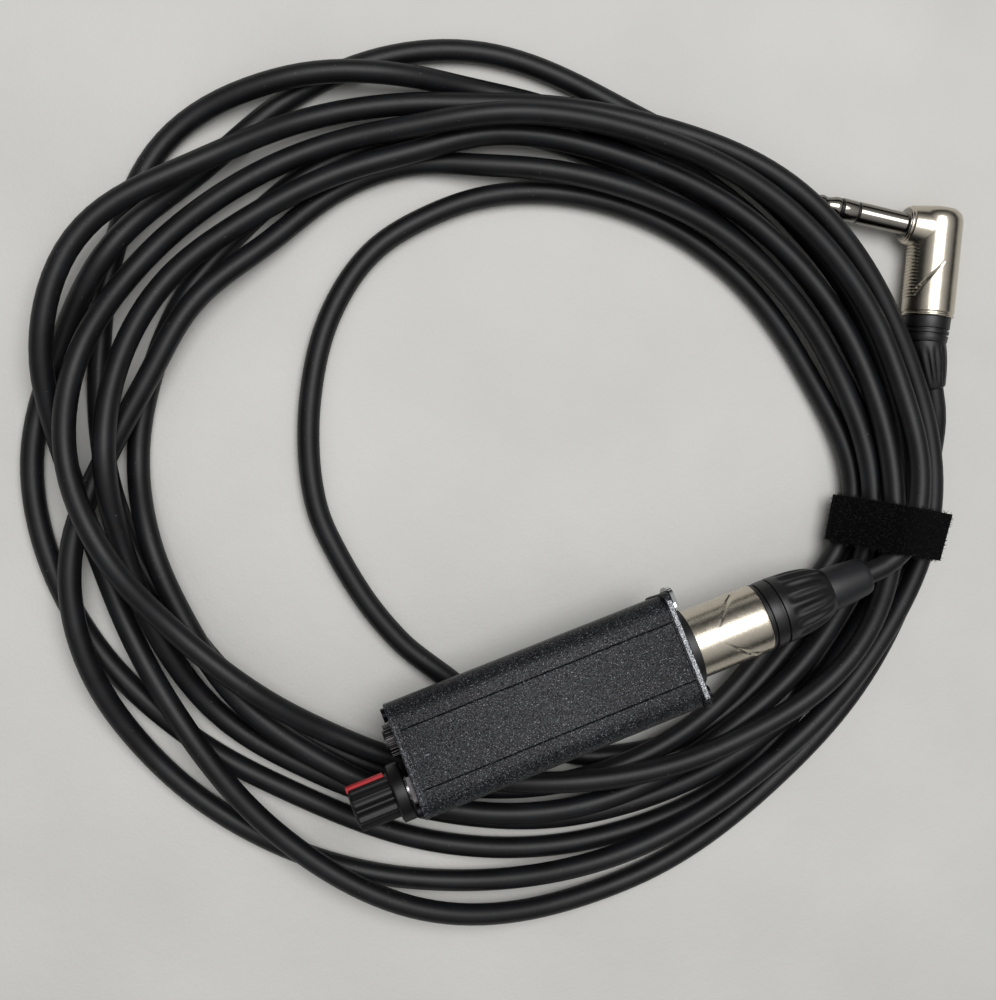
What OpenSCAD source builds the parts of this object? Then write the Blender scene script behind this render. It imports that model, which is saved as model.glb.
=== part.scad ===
// Coiled audio extension lead with a pocket-sized volume pack.
// Units are millimetres. X runs along the pack, from its knob end to its socket end. Z is up.
// The coil's middle stands at coil_at, which puts the whole object's middle over the origin.

/* [Cable] */
// Cable diameter
cable_d = 6.2; // [5.8:0.1:6.4]
// Height from one layer of cable to the next
layer = 7.1; // [7:0.1:7.5]
// Lift of the bundle over the strap
tie_lift = 3; // [2.9:0.1:3.2]

/* [Pack] */
// Length with both end plates
pack_l = 82; // [78:1:88]
// Width
pack_w = 32; // [31.5:0.5:36]
// Height
pack_h = 24; // [23.5:0.5:28]
// Wall thickness
wall = 1.5; // [1.2:0.1:1.6]
// End plate thickness
plate_t = 2; // [1.5:0.1:2.5]

/* [Knob] */
// Knob diameter
knob_d = 12.4; // [10:0.2:14]
// Knob length
knob_l = 11.5; // [9:0.5:14]

/* [XLR] */
// Plug barrel diameter
barrel_d = 19.4; // [19:0.1:20]
// Plug barrel length outside the socket
barrel_l = 21; // [18:1:26]

/* [Angle plug] */
// Housing diameter
elbow_d = 15.2; // [14:0.2:16]

/* [Hidden] */
$fn = 48;
coil_at = [-18.2, -1];
cable_r = cable_d / 2;
gap = 0.3;
press = 0.02;
run = 0.05;

function along(p, dir, s) = [p[0] + s * cos(dir), p[1] + s * sin(dir)];

// ---- pack places ----
pack_at = [-9, -57.9];
pack_z = 14.2;
roll = 12;
axis_z = pack_z + pack_h / 2;
end_k = pack_at[0] - pack_l / 2;
end_s = pack_at[0] + pack_l / 2;
knob_y = pack_at[1] - 7.3;
jack_y = pack_at[1] + 6.5;

// ---- strap place ----
tie_dir = -25;
tie_w = 13.5;

// ---- angle plug places ----
elbow_at = [150.9, 25.8];
elbow_z = elbow_d / 2;
tip_dir = 149;
arm_dir = 245;
bend_dir = arm_dir + 17;
housing_l = 25.5;
arm_l = 33;
boot_l = 14;
boot_base = along(elbow_at, arm_dir, arm_l);
boot_end = along(boot_base, bend_dir, boot_l);

// ---- cable route ----
// Each turn is a row of radii and a row of layers at the same stations round the coil.
station = [-22, 0, 24, 48, 71, 83, 96, 112, 128, 142, 155, 168, 182, 198, 218, 242, 268, 294, 317];
radii = [
    [124, 121, 115, 107, 103, 102, 105, 109, 114, 117, 115, 106, 95, 86, 81, 81, 86, 100, 116],
    [116, 114, 108, 101, 99, 96, 97, 100, 106, 107, 105, 102, 100, 99, 94, 94, 100, 107, 116],
    [122, 121, 119, 115, 123, 124, 122, 118, 122, 124, 126, 123, 117, 109, 102, 103, 108, 115, 114],
    [124.5, 117.4, 111, 108, 112, 117, 125, 131, 122, 113, 107, 101, 94, 90, 86, 86, 87, 91, 96],
    [109.5, 101, 95, 89, 83, 79, 75, 67, 59, 54, 51, 49, 47, 47, 50, 58, 82, 97, 104],
    [117.1, 109.6, 103, 100, 102, 102, 102, 100, 100, 99, 98, 95, 92, 91, 89, 91, 95, 99, 108],
    [112.3, 106.6, 100, 93, 91, 94, 94, 92, 97, 99, 106, 116, 120, 120, 117, 114, 112, 115, 124],
    [131, 127.2, 121.8, 111.5, 107, 109, 113, 118, 130, 127, 117, 110, 107, 107, 113, 121, 123, 123, 129],
];
layers = [
    [2, 2, 2, 2, 2, 1.5, 1, 1, 1, 2, 2.1, 2.7, 2, 2, 1, 1, 2, 2, 2],
    [1.9, 1.3, 1, 1, 1, 1, 1, 1, 1, 1.7, 2.3, 1.4, 1, 0, 0, 0, 0, 0.8, 1],
    [1, 1, 0, 0, 0, 0, 0, 0.3, 1.5, 0.1, 0, 0, 0, 0, 0, 0, 0, 0, 0],
    [0, 0, 0, 0, 0, 1.1, 1.1, 0, 0, 0, 0, 0, 0, 0, 0, 0, 1, 1, 0.7],
    [0, 0, 0, 0, 0, 0, 0, 0, 0, 0, 0, 0, 0, 0, 0, 0, 0, 0, 0],
    [0, 0, 0, 0, 0, 0, 0, 0, 0, 0, 0, 1, 1, 1, 1, 1, 1, 1, 1],
    [1, 1, 1, 1, 0.5, 0, 0, 0.5, 1, 1, 0.95, 1.2, 1, 0, 0, 0, 1, 1, 1],
    [1, 1.45, 1.7, 1.2, 1, 1, 1, 2, 2, 1.7, 0.4, 0, 0.5, 1.1, 1, 1, 0, 0, 0],
];
turns = len(radii);
last = 360 * turns - 22;
all_a = concat([for (t = [0 : turns - 1]) for (s = station) 360 * t + s], [last]);
all_r = concat([for (row = radii) for (v = row) v], [132]);
all_k = concat([for (row = layers) for (v = row) v], [0]);

function slope(v, i) = (v[i + 1] - v[i - 1]) / (all_a[i + 1] - all_a[i - 1]);
function find(a, i) = (i >= len(all_a) - 2 || a < all_a[i + 1]) ? i : find(a, i + 1);
function smooth(v, a, i) =
    let (
        h = all_a[i + 1] - all_a[i],
        t = (a - all_a[i]) / h,
        m0 = i < 1 ? 0 : slope(v, i),
        m1 = i > len(all_a) - 3 ? 0 : slope(v, i + 1)
    )
    (2 * t ^ 3 - 3 * t ^ 2 + 1) * v[i] + (t ^ 3 - 2 * t ^ 2 + t) * h * m0
    + (3 * t ^ 2 - 2 * t ^ 3) * v[i + 1] + (t ^ 3 - t ^ 2) * h * m1;
function off_tie(a) = abs((a - tie_dir + 180) % 360 - 180);
function lift(a) = off_tie(a) > 24 ? 0 : tie_lift * cos(off_tie(a) * 90 / 24) ^ 2;
base_z = cable_r - cable_d / 10;
function turn_point(a) =
    let (i = find(a, 0), r = smooth(all_r, a, i))
    [r * cos(a), r * sin(a), base_z + layer * smooth(all_k, a, i) + lift(a)];

ring_step = 15;
plug_x = end_s + 3;
bush_l = 21;
bush_x = plug_x + barrel_l;
plug_end = bush_x + bush_l + 12.5;
lead_in = [
    [plug_end - press, pack_at[1], axis_z],
    [plug_end + 6.5, pack_at[1], axis_z],
    [102.6, -55.6, 26.4],
    [108.2, -50.4, 26],
    [113, -43, 24.8],
    [117.3, -34, 22.6],
    [120.3, -23, 19.4],
];
lead_out = [
    [129, -38, 4.6],
    [132.3, -31.2, 5.8],
    concat(along(boot_end, bend_dir, 6.5), [elbow_z]),
    concat(along(boot_end, bend_dir, -press), [elbow_z]),
];
route = concat(
    lead_in,
    [for (a = [0 : ring_step : last - ring_step / 2]) turn_point(a)],
    [turn_point(last)],
    lead_out
);

// ---- the cable's least gap to itself, on points along its straight pieces ----
fine = 6;
walk = [for (i = [0 : len(route) - 2]) for (j = [0 : fine - 1])
    route[i] + (route[i + 1] - route[i]) * j / fine];
turn_steps = 360 / ring_step * fine;
near = [for (i = [0 : len(walk) - 1]) for (t = [1 : turns]) for (d = [-24 : 24])
    if (i + t * turn_steps + d < len(walk)) norm(walk[i] - walk[i + t * turn_steps + d])];
echo(least_gap = min(near) - cable_d);
lengths = [for (i = [1 : len(route) - 1]) norm(route[i] - route[i - 1])];
function total(v, i) = i < 0 ? 0 : v[i] + total(v, i - 1);
echo(cable_length = total(lengths, len(lengths) - 1), rings = len(route));

// ---- helpers ----
module place() {
    translate([coil_at[0], coil_at[1], 0]) children();
}

// the pack lies rolled on the bundle, turned about its plug's axis
module rolled() {
    place() translate([0, pack_at[1], axis_z]) rotate([-roll, 0, 0])
        translate([0, -pack_at[1], -axis_z]) children();
}

// a cylinder along +X from x0
module bar_x(x0, len_x, d, y, z) {
    translate([x0, y, z]) rotate([0, 90, 0]) cylinder(h = len_x, d = d);
}

module tube(points, sides, radius) {
    n = len(points);
    dirs = [for (i = [0 : n - 1])
        let (d = points[min(i + 1, n - 1)] - points[max(i - 1, 0)]) d / norm(d)];
    verts = [for (i = [0 : n - 1]) for (k = [0 : sides - 1])
        let (
            side = cross([0, 0, 1], dirs[i]),
            s = side / norm(side),
            up = cross(dirs[i], s),
            a = (k + 0.5) * 360 / sides + 90
        )
        points[i] + radius * (cos(a) * s + sin(a) * up)];
    walls = [for (i = [0 : n - 2]) for (k = [0 : sides - 1])
        let (k2 = (k + 1) % sides, p = i * sides, q = p + sides)
        each [[p + k, q + k, q + k2], [p + k, q + k2, p + k2]]];
    first = [for (k = [1 : sides - 2]) [0, k, k + 1]];
    end = [for (k = [1 : sides - 2]) let (p = (n - 1) * sides) [p, p + k + 1, p + k]];
    polyhedron(verts, concat(walls, first, end));
}

module rounded_bar(x0, len_x, w, h, r) {
    translate([x0, pack_at[1], axis_z]) rotate([90, 0, 90]) linear_extrude(len_x) {
        square([w, h - 2 * r], center = true);
        square([w - 2 * r, h], center = true);
        for (y = [-1, 1], z = [-1, 1]) translate([y * (w / 2 - r), z * (h / 2 - r)]) circle(r);
    }
}

// ---- cable ----
module cable_coil() {
    color("#1b1b1d") place() difference() {
        tube(route, 6, cable_r);
        translate([-200, -200, -10]) cube([400, 400, 10]);
    }
}

// ---- strap ----
// The strap is pulled tight, so its outline is the hull of the strands that it holds
tie_t = 1.3;
tie_clear = 0.35;
tie_steps = 12;
function tie_out(p) = p[0] * cos(tie_dir) + p[1] * sin(tie_dir);
function tie_off(p) = p[1] * cos(tie_dir) - p[0] * sin(tie_dir);
tie_strands = [
    for (i = [0 : len(route) - 2]) for (j = [0 : tie_steps - 1])
        let (p = route[i] + (route[i + 1] - route[i]) * j / tie_steps)
        if (tie_out(p) > 0 && abs(tie_off(p)) < tie_w / 2 + 1.5) [tie_out(p), p[2]]
];
module tie_loop(grow) {
    hull() for (s = tie_strands) translate(s) circle(cable_r + tie_clear + grow, $fn = 32);
}

module tie_band() {
    color("#151515") place() rotate([0, 0, tie_dir]) rotate([90, 0, 0])
        translate([0, 0, -tie_w / 2]) linear_extrude(tie_w) difference() {
            tie_loop(tie_t);
            tie_loop(0);
        }
}

// ---- pack ----
socket_d = 20.4;
bore_d = 19.6;
shell_l = 13.5;
corner = 5.5;
module pack_body() {
    groove = 0.8;
    x0 = end_k + plate_t;
    l = pack_l - 2 * plate_t;
    color("#2b2b2d") rolled() difference() {
        rounded_bar(x0, l, pack_w, pack_h, corner);
        rounded_bar(x0 - 1, l + 2, pack_w - 2 * wall, pack_h - 2 * wall, corner - wall);
        for (y = [-8.3, 8.3])
            translate([x0 - 1, pack_at[1] + y, pack_z + pack_h - groove / 2]) rotate([45, 0, 0])
                cube([l + 2, groove, groove]);
        for (x = clip_holes)
            translate([pack_at[0] + x, pack_at[1], pack_z - 1]) cylinder(h = wall + 2, d = 2.6);
    }
}

module end_plate(x0, proud) {
    rounded_bar(x0, plate_t, pack_w + 2 * proud, pack_h + 2 * proud, corner + proud);
}

plate_screws = [[-13, 8], [13, -8]];
module knob_end_plate() {
    color("#303032") rolled() difference() {
        end_plate(end_k, 0);
        bar_x(end_k - 1, plate_t + 2, 7.1, knob_y, axis_z);
        bar_x(end_k - 1, plate_t + 2, jack_thread + 0.1, jack_y, axis_z);
        for (s = plate_screws)
            bar_x(end_k - 1, plate_t + 2, 2.3, pack_at[1] + s[0], axis_z + s[1]);
    }
}

latch_y = pack_at[1] + 12;
module socket_end_plate() {
    color("#303032") rolled() difference() {
        end_plate(end_s - plate_t, 0.4);
        bar_x(end_s - plate_t - 1, plate_t + 2, socket_d + 0.1, pack_at[1], axis_z);
        for (s = plate_screws)
            bar_x(end_s - plate_t - 1, plate_t + 2, 2.3, pack_at[1] + s[0], axis_z + s[1]);
        translate([end_s - plate_t - 1, latch_y - 2, axis_z - 3.6]) cube([plate_t + 2, 4.2, 7.2]);
    }
}

module plate_screw(x, out, s) {
    head = out > 0 ? x : x - 1.2;
    shank = out > 0 ? x - 6 : x;
    difference() {
        union() {
            bar_x(head, 1.2, 4, pack_at[1] + s[0], axis_z + s[1]);
            bar_x(shank, 6, 2.2, pack_at[1] + s[0], axis_z + s[1]);
        }
        translate([out > 0 ? x + 0.7 : x - 1.3, pack_at[1] + s[0] - 0.3, axis_z + s[1] - 1.5])
            cube([0.6, 0.6, 3]);
    }
}

module knob_screw_1() { color("#8d8d90") rolled() plate_screw(end_k, -1, plate_screws[0]); }
module knob_screw_2() { color("#8d8d90") rolled() plate_screw(end_k, -1, plate_screws[1]); }
module socket_screw_1() { color("#8d8d90") rolled() plate_screw(end_s, 1, plate_screws[0]); }
module socket_screw_2() { color("#8d8d90") rolled() plate_screw(end_s, 1, plate_screws[1]); }

board_in = 14;
board_out = 30;
board_w = 25;
board_up = 4;
module circuit_board() {
    color("#1f5a33") rolled()
        translate([end_k + board_in, pack_at[1] - board_w / 2, pack_z + board_up])
            cube([end_s - board_out - end_k - board_in, board_w, 1.6]);
}

// ---- belt clip ----
clip_t = 1;
clip_drop = 7;
clip_w = 11;
clip_head = 0.8;
head_d = 4.6;
// Places of the clip's two screws along the pack, from its middle
clip_holes = [-12, 12];
module belt_clip() {
    color("#3a3a3c") rolled() difference() {
        translate([pack_at[0], pack_at[1] + clip_w / 2, pack_z]) rotate([90, 0, 0])
            linear_extrude(clip_w) {
            translate([-22, -clip_t]) square([40, clip_t]);
            translate([-22, -clip_drop]) square([clip_t, clip_drop]);
            translate([-22, -clip_drop]) square([46, clip_t]);
        }
        for (x = clip_holes) translate([pack_at[0] + x, pack_at[1], pack_z]) {
            translate([0, 0, -2]) cylinder(h = 3, d = 2.6);
            translate([0, 0, -clip_t - 1]) cylinder(h = 1 + clip_head, d = head_d + 0.1);
        }
    }
}

module clip_screw(x) {
    translate([pack_at[0] + x, pack_at[1], pack_z]) {
        translate([0, 0, -clip_t]) cylinder(h = clip_t + board_up - 0.3, d = 2.5);
        translate([0, 0, -clip_t]) cylinder(h = clip_head, d = head_d);
    }
}

module clip_screw_1() { color("#8d8d90") rolled() clip_screw(clip_holes[0]); }
module clip_screw_2() { color("#8d8d90") rolled() clip_screw(clip_holes[1]); }

// ---- headphone socket ----
jack_thread = 6;
module jack_socket() {
    color("#222224") rolled() difference() {
        union() {
            translate([end_k + plate_t, jack_y - 5, axis_z - 5]) cube([12, 10, 10]);
            bar_x(end_k - 2.8, plate_t + 2.8, jack_thread, jack_y, axis_z);
        }
        bar_x(end_k - 4, 14, 3.6, jack_y, axis_z);
    }
}

module jack_nut() {
    color("#c8c8cc") rolled() difference() {
        bar_x(end_k - 2.2, 2.2, 8.8, jack_y, axis_z);
        bar_x(end_k - 3, 4, jack_thread + 0.04, jack_y, axis_z);
        for (i = [0 : 23])
            translate([end_k - 3, jack_y, axis_z]) rotate([i * 15, 0, 0])
                translate([0, 4.4, 0]) rotate([0, 90, 0]) cylinder(h = 4, r = 0.3, $fn = 16);
    }
}

// ---- volume control ----
shaft_d = 6;
nut_t = 1.2;
nut_flats = 11.8;
neck_l = nut_t + 0.2;
module pot_body() {
    color("#9a9aa0") rolled() difference() {
        union() {
            translate([end_k + plate_t, knob_y - 5, axis_z - 5.5]) cube([7, 10, 11]);
            bar_x(end_k - neck_l, plate_t + neck_l, 7, knob_y, axis_z);
        }
        bar_x(end_k - neck_l - 1, neck_l + plate_t + 8, shaft_d + 2 * run, knob_y, axis_z);
    }
}

module pot_nut() {
    color("#c8c8cc") rolled() difference() {
        translate([end_k - nut_t, knob_y, axis_z]) rotate([0, 90, 0]) rotate(30)
            cylinder(h = nut_t, d = nut_flats / cos(30), $fn = 6);
        bar_x(end_k - nut_t - 1, nut_t + 2, 7.04, knob_y, axis_z);
    }
}

skirt_l = 3.7;
skirt_d = 16;
knob_gap = neck_l + 0.4;
point_w = 1.4;
point_up = 0.7;
knob_x = end_k - knob_gap - skirt_l;
point_dir = 18;
module pot_shaft() {
    color("#b8b8bc") rolled()
        bar_x(knob_x - knob_l + 3, end_k + 3 - knob_x + knob_l - 3, shaft_d, knob_y, axis_z);
}

module volume_knob() {
    ribs = 12;
    scoop_r = 2;
    color("#19191a") rolled() difference() {
        union() {
            bar_x(knob_x - knob_l, knob_l, knob_d, knob_y, axis_z);
            bar_x(knob_x, skirt_l, skirt_d, knob_y, axis_z);
        }
        bar_x(knob_x - knob_l + 3, knob_l + skirt_l, shaft_d, knob_y, axis_z);
        for (i = [1 : ribs - 1])
            translate([knob_x - knob_l - 1, knob_y, axis_z])
                rotate([point_dir + i * 360 / ribs, 0, 0])
                translate([0, knob_d / 2 + scoop_r - 0.65, 0]) rotate([0, 90, 0])
                    cylinder(h = knob_l + 0.6, r = scoop_r, $fn = 32);
        translate([knob_x - knob_l, knob_y, axis_z]) rotate([point_dir, 0, 0])
            translate([-1, knob_d / 2 - 0.8, -point_w / 2]) cube([knob_l, 2, point_w]);
    }
}

module knob_pointer() {
    color("#c03020") rolled() translate([knob_x - knob_l, knob_y, axis_z])
        rotate([point_dir, 0, 0]) translate([0, knob_d / 2 - 0.8, -point_w / 2])
            cube([knob_l - 1, 0.8 + point_up, point_w]);
}

// ---- pack socket ----
module socket_shell() {
    slot_w = 7;
    color("#1e1e20") rolled() difference() {
        union() {
            bar_x(end_s - 18, 18, socket_d, pack_at[1], axis_z);
            bar_x(end_s, 2.5, 22, pack_at[1], axis_z);
        }
        bar_x(end_s - 16, 20, bore_d, pack_at[1], axis_z);
        translate([end_s - 12, pack_at[1] + 8, axis_z - slot_w / 2]) cube([15, 5, slot_w]);
    }
}

insert_d = 14.6;
pin_ring = 3.6;
pins = [[-pin_ring, 3.2], [-pin_ring, -3.2], [pin_ring, 0]];
pin_d = 2.4;
module socket_insert() {
    color("#111112") rolled() difference() {
        bar_x(end_s - 16, 14, insert_d, pack_at[1], axis_z);
        for (p = pins) bar_x(end_s - 17, 16, 3.6, pack_at[1] + p[0], axis_z + p[1]);
    }
}

module socket_contact(p) {
    difference() {
        bar_x(end_s - 16, 13, 3.58, pack_at[1] + p[0], axis_z + p[1]);
        bar_x(end_s - 13.5, 12, pin_d + 0.6, pack_at[1] + p[0], axis_z + p[1]);
    }
}

module contact_1() { color("#c9a94e") rolled() socket_contact(pins[0]); }
module contact_2() { color("#c9a94e") rolled() socket_contact(pins[1]); }
module contact_3() { color("#c9a94e") rolled() socket_contact(pins[2]); }

// ---- latch ----
pivot_x = end_s - 14;
tab_w = 6;
tab_up = 5.6;
tab_round = 2.6;
tab_gap = 1.6;
tab_lean = 14;
module latch_lever() {
    color("#c4c4c8") rolled() difference() {
        union() {
            translate([pivot_x - 1.8, latch_y - 0.6, axis_z - tab_w / 2])
                cube([end_s + tab_gap + 1.2 - pivot_x + 1.8, 1.2, tab_w]);
            translate([pivot_x, latch_y, axis_z - 3]) cylinder(h = 6, d = 3.4);
            translate([end_s + tab_gap, latch_y, axis_z]) rotate([0, tab_lean, 0])
                rotate([90, 0, 90]) linear_extrude(1.2) hull() {
                translate([-0.6, -tab_w / 2]) square([1, tab_w]);
                for (z = [-1, 1])
                    translate([tab_up - tab_round, z * (tab_w / 2 - tab_round)]) circle(tab_round);
            }
            translate([end_s - 7, latch_y - 3, axis_z - 2]) cube([2, 3, 4]);
        }
        translate([pivot_x, latch_y, axis_z - 4]) cylinder(h = 8, d = 1.6 + 2 * run);
    }
}

module latch_pin() {
    color("#9a9aa0") rolled() translate([pivot_x, latch_y, axis_z - 4.4]) cylinder(h = 8.8, d = 1.6);
}

module latch_bracket() {
    color("#1e1e20") rolled() difference() {
        translate([pivot_x - 3, latch_y - 1.9, axis_z - 4.6]) cube([6, 4.4, 9.2]);
        translate([pivot_x - 4, latch_y - 2.4, axis_z - 3.4]) cube([8, 6, 6.8]);
        translate([pivot_x, latch_y, axis_z - 6]) cylinder(h = 12, d = 1.6);
    }
}

// ---- cable plug ----
module plug_shell() {
    color("#b9b7b2") rolled() difference() {
        union() {
            bar_x(end_s - shell_l, shell_l + 3.1, 18.9, pack_at[1], axis_z);
            bar_x(plug_x, barrel_l, barrel_d, pack_at[1], axis_z);
        }
        bar_x(end_s - shell_l - 1, shell_l + 2, 16.2, pack_at[1], axis_z);
        bar_x(end_s - 1, barrel_l + 6, 15.6, pack_at[1], axis_z);
        translate([end_s - 7.6, pack_at[1] + 7, axis_z - 2.6]) cube([3.2, 5, 5.2]);
    }
}

module plug_insert() {
    color("#151515") rolled() difference() {
        bar_x(end_s + 0.6, 8, 15.58, pack_at[1], axis_z);
        for (p = pins) bar_x(end_s, 10, pin_d, pack_at[1] + p[0], axis_z + p[1]);
    }
}

module plug_pin(p) {
    bar_x(end_s - 11, 23, pin_d, pack_at[1] + p[0], axis_z + p[1]);
}

module pin_1() { color("#c8c8cc") rolled() plug_pin(pins[0]); }
module pin_2() { color("#c8c8cc") rolled() plug_pin(pins[1]); }
module pin_3() { color("#c8c8cc") rolled() plug_pin(pins[2]); }

module plug_chuck() {
    color("#d8d6d0") rolled() difference() {
        bar_x(bush_x - 9, 12, 12, pack_at[1], axis_z);
        bar_x(bush_x - 10, 14, cable_d + 1, pack_at[1], axis_z);
        translate([bush_x - 10, pack_at[1] - 0.5, axis_z]) cube([8, 1, 8]);
    }
}

module plug_bushing() {
    flutes = 16;
    seal_l = 5.2;
    nose_l = 5;
    color("#1a1a1b") rolled() difference() {
        translate([bush_x, pack_at[1], axis_z]) rotate([0, 90, 0]) {
            cylinder(h = seal_l, d = barrel_d - 0.4);
            translate([0, 0, seal_l])
                cylinder(h = bush_l - seal_l - nose_l, d1 = barrel_d - 0.4, d2 = 16.4);
            translate([0, 0, bush_l - nose_l]) cylinder(h = nose_l, d1 = 16.4, d2 = 13.4);
        }
        bar_x(bush_x - 1, 5, 12.6, pack_at[1], axis_z);
        bar_x(bush_x + 3, bush_l, 10.4, pack_at[1], axis_z);
        for (x = [0.8, seal_l - 0.6]) difference() {
            bar_x(bush_x + x, 0.5, barrel_d + 2, pack_at[1], axis_z);
            bar_x(bush_x + x - 1, 3, barrel_d - 1.4, pack_at[1], axis_z);
        }
        for (i = [0 : flutes - 1])
            translate([bush_x + seal_l + 3, pack_at[1], axis_z])
                rotate([i * 360 / flutes, 0, -3])
                translate([0, 9.9, 0]) rotate([0, 90, 0])
                    cylinder(h = bush_l - seal_l - nose_l - 1, r = 1.3, $fn = 16);
    }
}

module plug_boot() {
    x0 = bush_x + bush_l;
    color("#161617") rolled() difference() {
        union() {
            bar_x(x0 - 12, 12, 10.38, pack_at[1], axis_z);
            translate([x0, pack_at[1], axis_z]) rotate([0, 90, 0])
                cylinder(h = plug_end - x0, d1 = 12.8, d2 = 10.4);
        }
        bar_x(x0 - 13, plug_end - x0 + 10, cable_d - 1, pack_at[1], axis_z);
    }
}

// ---- angle plug ----
// Everything here is built along +Z and laid down along its direction.
module lay(p, dir, s) {
    q = along(p, dir, s);
    place() translate([q[0], q[1], elbow_z]) rotate([0, 90, dir]) children();
}

shaft_r = 3.175;
neck = 10.4;
sleeve_l = 14.6;
band_l = 1.1;
ring_l = 4;
band_1 = neck + sleeve_l;
ring_at = band_1 + band_l;
band_2 = ring_at + ring_l;
tip_at = band_2 + band_l;
module trs_tip() {
    color("#c9c6c0") lay(elbow_at, tip_dir, tip_at) {
        cylinder(h = 1, d = 5.9);
        translate([0, 0, 1]) cylinder(h = 2.6, d1 = 5.9, d2 = 4.6);
        translate([0, 0, 3.6]) cylinder(h = 1.6, d1 = 4.6, d2 = 5.9);
        translate([0, 0, 5.2]) cylinder(h = 4.2, d1 = 5.9, d2 = 2.2);
    }
}

module trs_insulator(s) {
    lay(elbow_at, tip_dir, s) difference() {
        cylinder(h = band_l, r = shaft_r);
        translate([0, 0, -1]) cylinder(h = 4, d = 2.4);
    }
}

module trs_band_1() { color("#101010") trs_insulator(band_2); }
module trs_band_2() { color("#101010") trs_insulator(band_1); }

module trs_ring() {
    color("#c9c6c0") lay(elbow_at, tip_dir, ring_at) difference() {
        cylinder(h = ring_l, r = shaft_r);
        translate([0, 0, -1]) cylinder(h = 7, d = 2.8);
    }
}

module trs_rod() {
    color("#b8b6b0") lay(elbow_at, tip_dir, 2) cylinder(h = tip_at - 2, d = 2.38);
}

module trs_sleeve() {
    color("#c9c6c0") lay(elbow_at, tip_dir, neck) difference() {
        union() {
            cylinder(h = sleeve_l, r = shaft_r);
            translate([0, 0, -4]) cylinder(h = 4, d = 6);
            translate([0, 0, -1.8]) cylinder(h = 1.8, d = 9.4);
        }
        translate([0, 0, -5]) cylinder(h = sleeve_l + 8, d = 3);
    }
}

collar_d = 10.6;
module elbow_housing() {
    grips = 12;
    over = 6.6;
    bend = 4;
    color("#b5b3ae") difference() {
        union() {
            lay(elbow_at, arm_dir, -over) rotate_extrude() union() {
                square([elbow_d / 2 - bend, housing_l + over]);
                translate([0, bend]) square([elbow_d / 2, housing_l + over - bend]);
                translate([elbow_d / 2 - bend, bend]) intersection() {
                    circle(bend);
                    translate([0, -bend]) square(bend);
                }
            }
            lay(elbow_at, tip_dir, 0) cylinder(h = neck - 0.4, d1 = elbow_d, d2 = collar_d);
        }
        lay(elbow_at, arm_dir, 3.6) cylinder(h = housing_l, d = 10.6);
        lay(elbow_at, tip_dir, 0) cylinder(h = neck, d = 6.02);
        lay(elbow_at, tip_dir, neck - 1.82) cylinder(h = 9, d = 9.42);
        lay(elbow_at, arm_dir, 5) for (i = [0 : grips - 1])
            translate([-4.5, -elbow_d / 2 - 0.6, i * 1.3]) cube([9, 1.1, 0.55]);
    }
}

module elbow_bushing() {
    l = arm_l - housing_l;
    color("#18181a") difference() {
        lay(elbow_at, arm_dir, housing_l) cylinder(h = l, d1 = 13.4, d2 = 12.4);
        lay(elbow_at, arm_dir, housing_l - 1) cylinder(h = l + 5, d = 8);
        for (s = [3.6, 5]) difference() {
            lay(elbow_at, arm_dir, housing_l + s) cylinder(h = 0.5, d = 15);
            lay(elbow_at, arm_dir, housing_l + s - 1) cylinder(h = 3, d = 12);
        }
    }
}

module elbow_boot() {
    color("#161617") difference() {
        union() {
            lay(boot_base, bend_dir, 2.1) cylinder(h = boot_l - 2.1, d1 = 11, d2 = 7.8);
            lay(boot_base, arm_dir, -6) cylinder(h = 9, d = 7.9);
        }
        lay(boot_base, bend_dir, 4) cylinder(h = boot_l, d = cable_d - 1);
    }
}

cable_coil();
tie_band();
pack_body();
knob_end_plate();
socket_end_plate();
knob_screw_1();
knob_screw_2();
socket_screw_1();
socket_screw_2();
circuit_board();
belt_clip();
clip_screw_1();
clip_screw_2();
jack_socket();
jack_nut();
pot_body();
pot_nut();
pot_shaft();
volume_knob();
knob_pointer();
socket_shell();
socket_insert();
contact_1();
contact_2();
contact_3();
latch_lever();
latch_pin();
latch_bracket();
plug_shell();
plug_insert();
pin_1();
pin_2();
pin_3();
plug_chuck();
plug_bushing();
plug_boot();
trs_tip();
trs_band_1();
trs_ring();
trs_band_2();
trs_rod();
trs_sleeve();
elbow_housing();
elbow_bushing();
elbow_boot();
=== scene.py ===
# %% [markdown]
# # Coiled headphone lead with a pocket volume pack
# The CAD model is the frame: every visible piece is placed by it, in metres. This file
# dresses it. First come the frame, the camera and the cable, because the cable decides
# how far the object spreads.

# %% The frame
import math
import random

import bmesh
import bpy
from mathutils import Matrix, Vector


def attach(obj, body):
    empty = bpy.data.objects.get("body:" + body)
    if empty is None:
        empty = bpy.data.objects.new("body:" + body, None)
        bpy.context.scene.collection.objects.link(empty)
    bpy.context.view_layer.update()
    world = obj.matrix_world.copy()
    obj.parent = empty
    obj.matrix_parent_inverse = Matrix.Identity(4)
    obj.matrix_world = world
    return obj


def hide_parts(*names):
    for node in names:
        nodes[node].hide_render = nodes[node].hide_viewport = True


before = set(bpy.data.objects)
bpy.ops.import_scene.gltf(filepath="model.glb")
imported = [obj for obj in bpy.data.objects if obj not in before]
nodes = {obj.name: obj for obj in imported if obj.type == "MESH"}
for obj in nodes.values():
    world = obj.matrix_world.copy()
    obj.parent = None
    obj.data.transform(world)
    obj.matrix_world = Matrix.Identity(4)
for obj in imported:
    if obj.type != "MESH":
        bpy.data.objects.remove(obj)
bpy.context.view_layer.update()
MM = 0.001

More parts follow.
